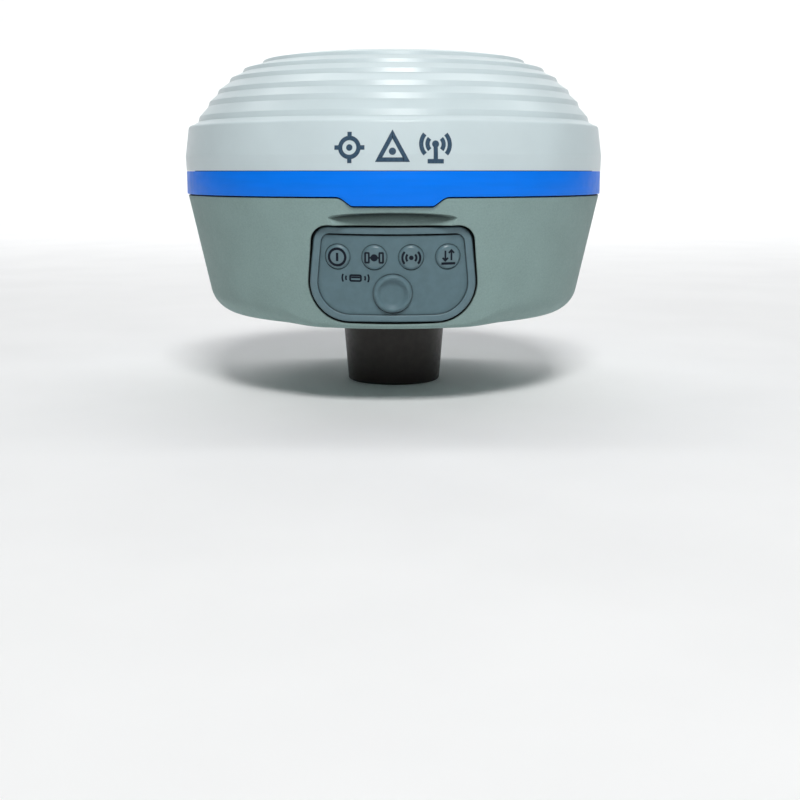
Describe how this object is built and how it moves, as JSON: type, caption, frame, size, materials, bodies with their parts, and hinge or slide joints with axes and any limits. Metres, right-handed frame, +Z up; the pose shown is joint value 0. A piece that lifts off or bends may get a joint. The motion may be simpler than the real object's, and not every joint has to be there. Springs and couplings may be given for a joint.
{
  "type": "gnss receiver",
  "caption": "Round survey GNSS receiver: stepped white radome, blue trim band, grey tapered housing with front keypad, rear port door and a threaded pole neck.",
  "frame": {"origin": "centre of the neck's lower face, where the survey pole's shoulder meets the receiver", "axes": "+Z up along the pole axis, keypad faces -Y, charging port faces +Y"},
  "size_m": [0.13, 0.13, 0.1017],
  "materials": {
    "radome": "white moulded plastic, satin gloss",
    "trim": "bright blue moulded plastic",
    "housing": "grey fine-textured plastic",
    "neck": "near-black satin plastic",
    "keypad_border": "blue-grey satin plastic",
    "keypad_rubber": "blue-grey silicone rubber",
    "lens": "translucent blue-grey light guide with dark printed symbol",
    "seal": "black moulded rubber",
    "steel": "stainless screws and pin",
    "brass": "machined brass",
    "tinned_steel": "tinned sheet steel",
    "black_plastic": "black moulded plastic",
    "circuit_board": "green solder mask",
    "ceramic": "ceramic patch with silvered top",
    "cell": "shrink-sleeved lithium cell",
    "copper": "bare copper winding",
    "ribbon": "amber polyimide film",
    "led": "clear moulded epoxy",
    "coax_jacket": "black cable jacket",
    "label": "blank printed film"
  },
  "bodies": {
    "receiver": {"radome_cover": "radome", "trim_ring": "trim", "lower_housing": "housing", "rim_seal": "seal", "housing_screw_1": "steel", "housing_screw_2": "steel", "housing_screw_3": "steel", "housing_screw_4": "steel", "pole_neck": "neck", "thread_insert": "brass", "neck_screw_1": "steel", "neck_screw_2": "steel", "neck_screw_3": "steel", "neck_screw_4": "steel", "rating_label": "label", "pressure_vent": "black_plastic", "speaker": "black_plastic", "keypad_frame": "keypad_border", "keypad_membrane": "keypad_rubber", "indicator_lens_1": "lens", "indicator_lens_2": "lens", "indicator_lens_3": "lens", "indicator_lens_4": "lens", "tact_switch": "tinned_steel", "keypad_board": "circuit_board", "indicator_led_1": "led", "indicator_led_2": "led", "indicator_led_3": "led", "indicator_led_4": "led", "nfc_coil": "copper", "keypad_ribbon": "ribbon", "port_door_pin": "steel", "usb_socket": "tinned_steel", "inner_frame": "black_plastic", "frame_screw_1": "steel", "frame_screw_2": "steel", "frame_screw_3": "steel", "frame_screw_4": "steel", "battery_holder": "black_plastic", "battery_cell_1": "cell", "battery_cell_2": "cell", "main_board": "circuit_board", "gnss_module": "tinned_steel", "radio_module": "tinned_steel", "tilt_sensor": "black_plastic", "antenna_spacer_1": "brass", "antenna_spacer_2": "brass", "antenna_spacer_3": "brass", "antenna_spacer_4": "brass", "antenna_ground_plane": "circuit_board", "antenna_patch_lower": "ceramic", "antenna_patch_upper": "ceramic", "antenna_coax": "coax_jacket"},
    "button": {"power_button": "keypad_rubber"},
    "switch_plunger": {"tact_plunger": "black_plastic"},
    "door": {"port_door": "housing", "port_door_seal": "seal"}
  },
  "joints": [
    {"name": "power_button_press", "type": "slide", "parent": "receiver", "child": "button", "axis": [0, 0.9912, 0.1323], "range_m": [0, 0.0006], "stiffness_N_per_m": 1500},
    {"name": "switch_plunger_press", "type": "slide", "parent": "receiver", "child": "switch_plunger", "axis": [0, 0.9912, 0.1323], "range_m": [0, 0.0006]},
    {"name": "port_door_hinge", "type": "hinge", "parent": "receiver", "child": "door", "pos_m": [0.0124, 0.0576, 0.04058], "axis": [0, -0.2113, -0.9774], "range_deg": [0, 110]}
  ],
  "couplings": [
    {"joint": "switch_plunger_press", "follows": "power_button_press", "ratio": 1}
  ]
}
